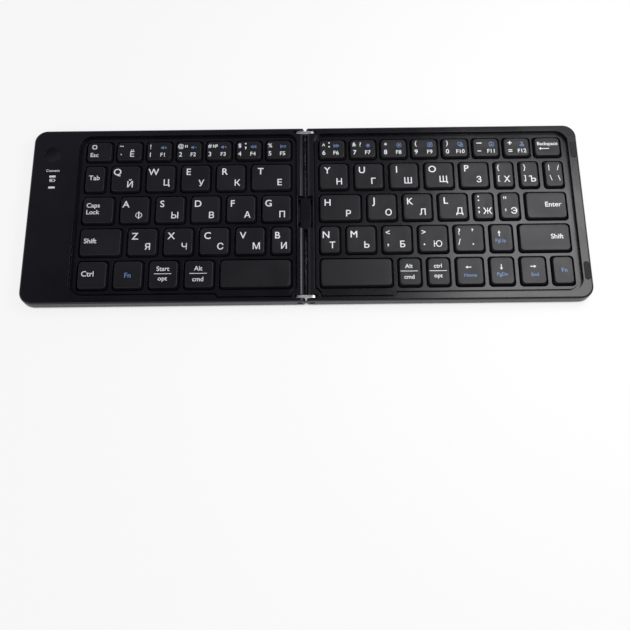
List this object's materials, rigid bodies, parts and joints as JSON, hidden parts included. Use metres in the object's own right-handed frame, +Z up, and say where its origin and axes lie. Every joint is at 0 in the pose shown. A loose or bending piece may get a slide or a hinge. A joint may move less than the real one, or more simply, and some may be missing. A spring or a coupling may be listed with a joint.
{
  "type": "folding keyboard",
  "caption": "Slim wireless keyboard in two halves that fold face to face on a double-pivot hinge with steel links, with scissor keys, a connect button and two status lights.",
  "frame": {"origin": "centre of the outline at table level, on the hinge line between the two halves", "axes": "+X along the keyboard to the right half, +Y to the back row of keys, +Z up; the keyboard lies open and flat"},
  "size_m": [0.298, 0.1014, 0.0077],
  "materials": {
    "case_plastic": "fine matte texture",
    "key_plastic": "soft satin",
    "cover_plastic": "matte",
    "link_steel": "satin",
    "sheet_steel": "plain",
    "screw_steel": "blackened",
    "dome_silicone": "matte",
    "scissor_plastic": "smooth",
    "foot_rubber": "matte",
    "battery_film": "silver film",
    "board_laminate": "solder mask",
    "light_guide": "clear to milky",
    "flex_film": "polyimide film"
  },
  "bodies": {
    "left_half": {"left_frame": "case_plastic", "left_bottom_cover": "cover_plastic", "left_key_plate": "case_plastic", "left_base_plate": "sheet_steel", "left_dome_sheet": "dome_silicone", "left_scissors": "scissor_plastic", "left_screws": "screw_steel", "left_feet": "foot_rubber", "battery": "battery_film", "main_board": "board_laminate", "usb_socket": "sheet_steel", "status_lights": "light_guide", "cross_flex": "flex_film"},
    "connect_button": {"connect_button": "case_plastic"},
    "hinge_link": {"hinge_links": "link_steel", "hinge_bridge": "cover_plastic", "hinge_pins": "link_steel", "hinge_flex": "flex_film"},
    "right_half": {"right_frame": "case_plastic", "right_bottom_cover": "cover_plastic", "right_key_plate": "case_plastic", "right_base_plate": "sheet_steel", "right_dome_sheet": "dome_silicone", "right_scissors": "scissor_plastic", "right_screws": "screw_steel", "right_feet": "foot_rubber", "right_pads": "foot_rubber"},
    "key_a": {"key_a": "key_plastic"},
    "key_b": {"key_b": "key_plastic"},
    "key_c": {"key_c": "key_plastic"},
    "key_d": {"key_d": "key_plastic"},
    "key_e": {"key_e": "key_plastic"},
    "key_f": {"key_f": "key_plastic"},
    "key_g": {"key_g": "key_plastic"},
    "key_q": {"key_q": "key_plastic"},
    "key_r": {"key_r": "key_plastic"},
    "key_s": {"key_s": "key_plastic"},
    "key_t": {"key_t": "key_plastic"},
    "key_v": {"key_v": "key_plastic"},
    "key_w": {"key_w": "key_plastic"},
    "key_x": {"key_x": "key_plastic"},
    "key_z": {"key_z": "key_plastic"},
    "left_space_key": {"left_space_key": "key_plastic"},
    "left_number_keys": {"left_number_keys": "key_plastic"},
    "left_command_keys": {"left_command_keys": "key_plastic"},
    "key_h": {"key_h": "key_plastic"},
    "key_i": {"key_i": "key_plastic"},
    "key_j": {"key_j": "key_plastic"},
    "key_k": {"key_k": "key_plastic"},
    "key_l": {"key_l": "key_plastic"},
    "key_m": {"key_m": "key_plastic"},
    "key_n": {"key_n": "key_plastic"},
    "key_o": {"key_o": "key_plastic"},
    "key_p": {"key_p": "key_plastic"},
    "key_u": {"key_u": "key_plastic"},
    "key_y": {"key_y": "key_plastic"},
    "right_space_key": {"right_space_key": "key_plastic"},
    "right_number_keys": {"right_number_keys": "key_plastic"},
    "right_command_keys": {"right_command_keys": "key_plastic"},
    "punctuation_keys": {"punctuation_keys": "key_plastic"}
  },
  "joints": [
    {"name": "left_hinge", "type": "hinge", "parent": "left_half", "child": "hinge_link", "pos_m": [-0.0032, 0, 0.0045], "axis": [0, -1, 0], "range_deg": [0, 90]},
    {"name": "right_hinge", "type": "hinge", "parent": "hinge_link", "child": "right_half", "pos_m": [0.0032, 0, 0.0045], "axis": [0, -1, 0], "range_deg": [0, 90]},
    {"name": "connect_press", "type": "slide", "parent": "left_half", "child": "connect_button", "axis": [0, 0, -1], "range_m": [0, 0.0004], "stiffness_N_per_m": 2500, "springref_m": -0.0001},
    {"name": "key_a_press", "type": "slide", "parent": "left_half", "child": "key_a", "axis": [0, 0, -1], "range_m": [0, 0.0014], "stiffness_N_per_m": 350, "springref_m": -0.0004, "deforming": ["left_dome_sheet", "left_scissors"]},
    {"name": "key_b_press", "type": "slide", "parent": "left_half", "child": "key_b", "axis": [0, 0, -1], "range_m": [0, 0.0014], "stiffness_N_per_m": 350, "springref_m": -0.0004, "deforming": ["left_dome_sheet", "left_scissors"]},
    {"name": "key_c_press", "type": "slide", "parent": "left_half", "child": "key_c", "axis": [0, 0, -1], "range_m": [0, 0.0014], "stiffness_N_per_m": 350, "springref_m": -0.0004, "deforming": ["left_dome_sheet", "left_scissors"]},
    {"name": "key_d_press", "type": "slide", "parent": "left_half", "child": "key_d", "axis": [0, 0, -1], "range_m": [0, 0.0014], "stiffness_N_per_m": 350, "springref_m": -0.0004, "deforming": ["left_dome_sheet", "left_scissors"]},
    {"name": "key_e_press", "type": "slide", "parent": "left_half", "child": "key_e", "axis": [0, 0, -1], "range_m": [0, 0.0014], "stiffness_N_per_m": 350, "springref_m": -0.0004, "deforming": ["left_dome_sheet", "left_scissors"]},
    {"name": "key_f_press", "type": "slide", "parent": "left_half", "child": "key_f", "axis": [0, 0, -1], "range_m": [0, 0.0014], "stiffness_N_per_m": 350, "springref_m": -0.0004, "deforming": ["left_dome_sheet", "left_scissors"]},
    {"name": "key_g_press", "type": "slide", "parent": "left_half", "child": "key_g", "axis": [0, 0, -1], "range_m": [0, 0.0014], "stiffness_N_per_m": 350, "springref_m": -0.0004, "deforming": ["left_dome_sheet", "left_scissors"]},
    {"name": "key_q_press", "type": "slide", "parent": "left_half", "child": "key_q", "axis": [0, 0, -1], "range_m": [0, 0.0014], "stiffness_N_per_m": 350, "springref_m": -0.0004, "deforming": ["left_dome_sheet", "left_scissors"]},
    {"name": "key_r_press", "type": "slide", "parent": "left_half", "child": "key_r", "axis": [0, 0, -1], "range_m": [0, 0.0014], "stiffness_N_per_m": 350, "springref_m": -0.0004, "deforming": ["left_dome_sheet", "left_scissors"]},
    {"name": "key_s_press", "type": "slide", "parent": "left_half", "child": "key_s", "axis": [0, 0, -1], "range_m": [0, 0.0014], "stiffness_N_per_m": 350, "springref_m": -0.0004, "deforming": ["left_dome_sheet", "left_scissors"]},
    {"name": "key_t_press", "type": "slide", "parent": "left_half", "child": "key_t", "axis": [0, 0, -1], "range_m": [0, 0.0014], "stiffness_N_per_m": 350, "springref_m": -0.0004, "deforming": ["left_dome_sheet", "left_scissors"]},
    {"name": "key_v_press", "type": "slide", "parent": "left_half", "child": "key_v", "axis": [0, 0, -1], "range_m": [0, 0.0014], "stiffness_N_per_m": 350, "springref_m": -0.0004, "deforming": ["left_dome_sheet", "left_scissors"]},
    {"name": "key_w_press", "type": "slide", "parent": "left_half", "child": "key_w", "axis": [0, 0, -1], "range_m": [0, 0.0014], "stiffness_N_per_m": 350, "springref_m": -0.0004, "deforming": ["left_dome_sheet", "left_scissors"]},
    {"name": "key_x_press", "type": "slide", "parent": "left_half", "child": "key_x", "axis": [0, 0, -1], "range_m": [0, 0.0014], "stiffness_N_per_m": 350, "springref_m": -0.0004, "deforming": ["left_dome_sheet", "left_scissors"]},
    {"name": "key_z_press", "type": "slide", "parent": "left_half", "child": "key_z", "axis": [0, 0, -1], "range_m": [0, 0.0014], "stiffness_N_per_m": 350, "springref_m": -0.0004, "deforming": ["left_dome_sheet", "left_scissors"]},
    {"name": "left_space_key_press", "type": "slide", "parent": "left_half", "child": "left_space_key", "axis": [0, 0, -1], "range_m": [0, 0.0014], "stiffness_N_per_m": 350, "springref_m": -0.0004, "deforming": ["left_dome_sheet", "left_scissors"]},
    {"name": "left_number_keys_press", "type": "slide", "parent": "left_half", "child": "left_number_keys", "axis": [0, 0, -1], "range_m": [0, 0.0014], "stiffness_N_per_m": 2450, "springref_m": -0.0004, "deforming": ["left_dome_sheet", "left_scissors"]},
    {"name": "left_command_keys_press", "type": "slide", "parent": "left_half", "child": "left_command_keys", "axis": [0, 0, -1], "range_m": [0, 0.0014], "stiffness_N_per_m": 2450, "springref_m": -0.0004, "deforming": ["left_dome_sheet", "left_scissors"]},
    {"name": "key_h_press", "type": "slide", "parent": "right_half", "child": "key_h", "axis": [0, 0, -1], "range_m": [0, 0.0014], "stiffness_N_per_m": 350, "springref_m": -0.0004, "deforming": ["right_dome_sheet", "right_scissors"]},
    {"name": "key_i_press", "type": "slide", "parent": "right_half", "child": "key_i", "axis": [0, 0, -1], "range_m": [0, 0.0014], "stiffness_N_per_m": 350, "springref_m": -0.0004, "deforming": ["right_dome_sheet", "right_scissors"]},
    {"name": "key_j_press", "type": "slide", "parent": "right_half", "child": "key_j", "axis": [0, 0, -1], "range_m": [0, 0.0014], "stiffness_N_per_m": 350, "springref_m": -0.0004, "deforming": ["right_dome_sheet", "right_scissors"]},
    {"name": "key_k_press", "type": "slide", "parent": "right_half", "child": "key_k", "axis": [0, 0, -1], "range_m": [0, 0.0014], "stiffness_N_per_m": 350, "springref_m": -0.0004, "deforming": ["right_dome_sheet", "right_scissors"]},
    {"name": "key_l_press", "type": "slide", "parent": "right_half", "child": "key_l", "axis": [0, 0, -1], "range_m": [0, 0.0014], "stiffness_N_per_m": 350, "springref_m": -0.0004, "deforming": ["right_dome_sheet", "right_scissors"]},
    {"name": "key_m_press", "type": "slide", "parent": "right_half", "child": "key_m", "axis": [0, 0, -1], "range_m": [0, 0.0014], "stiffness_N_per_m": 350, "springref_m": -0.0004, "deforming": ["right_dome_sheet", "right_scissors"]},
    {"name": "key_n_press", "type": "slide", "parent": "right_half", "child": "key_n", "axis": [0, 0, -1], "range_m": [0, 0.0014], "stiffness_N_per_m": 350, "springref_m": -0.0004, "deforming": ["right_dome_sheet", "right_scissors"]},
    {"name": "key_o_press", "type": "slide", "parent": "right_half", "child": "key_o", "axis": [0, 0, -1], "range_m": [0, 0.0014], "stiffness_N_per_m": 350, "springref_m": -0.0004, "deforming": ["right_dome_sheet", "right_scissors"]},
    {"name": "key_p_press", "type": "slide", "parent": "right_half", "child": "key_p", "axis": [0, 0, -1], "range_m": [0, 0.0014], "stiffness_N_per_m": 350, "springref_m": -0.0004, "deforming": ["right_dome_sheet", "right_scissors"]},
    {"name": "key_u_press", "type": "slide", "parent": "right_half", "child": "key_u", "axis": [0, 0, -1], "range_m": [0, 0.0014], "stiffness_N_per_m": 350, "springref_m": -0.0004, "deforming": ["right_dome_sheet", "right_scissors"]},
    {"name": "key_y_press", "type": "slide", "parent": "right_half", "child": "key_y", "axis": [0, 0, -1], "range_m": [0, 0.0014], "stiffness_N_per_m": 350, "springref_m": -0.0004, "deforming": ["right_dome_sheet", "right_scissors"]},
    {"name": "right_space_key_press", "type": "slide", "parent": "right_half", "child": "right_space_key", "axis": [0, 0, -1], "range_m": [0, 0.0014], "stiffness_N_per_m": 350, "springref_m": -0.0004, "deforming": ["right_dome_sheet", "right_scissors"]},
    {"name": "right_number_keys_press", "type": "slide", "parent": "right_half", "child": "right_number_keys", "axis": [0, 0, -1], "range_m": [0, 0.0014], "stiffness_N_per_m": 2800, "springref_m": -0.0004, "deforming": ["right_dome_sheet", "right_scissors"]},
    {"name": "right_command_keys_press", "type": "slide", "parent": "right_half", "child": "right_command_keys", "axis": [0, 0, -1], "range_m": [0, 0.0014], "stiffness_N_per_m": 3150, "springref_m": -0.0004, "deforming": ["right_dome_sheet", "right_scissors"]},
    {"name": "punctuation_keys_press", "type": "slide", "parent": "right_half", "child": "punctuation_keys", "axis": [0, 0, -1], "range_m": [0, 0.0014], "stiffness_N_per_m": 2800, "springref_m": -0.0004, "deforming": ["right_dome_sheet", "right_scissors"]}
  ]
}
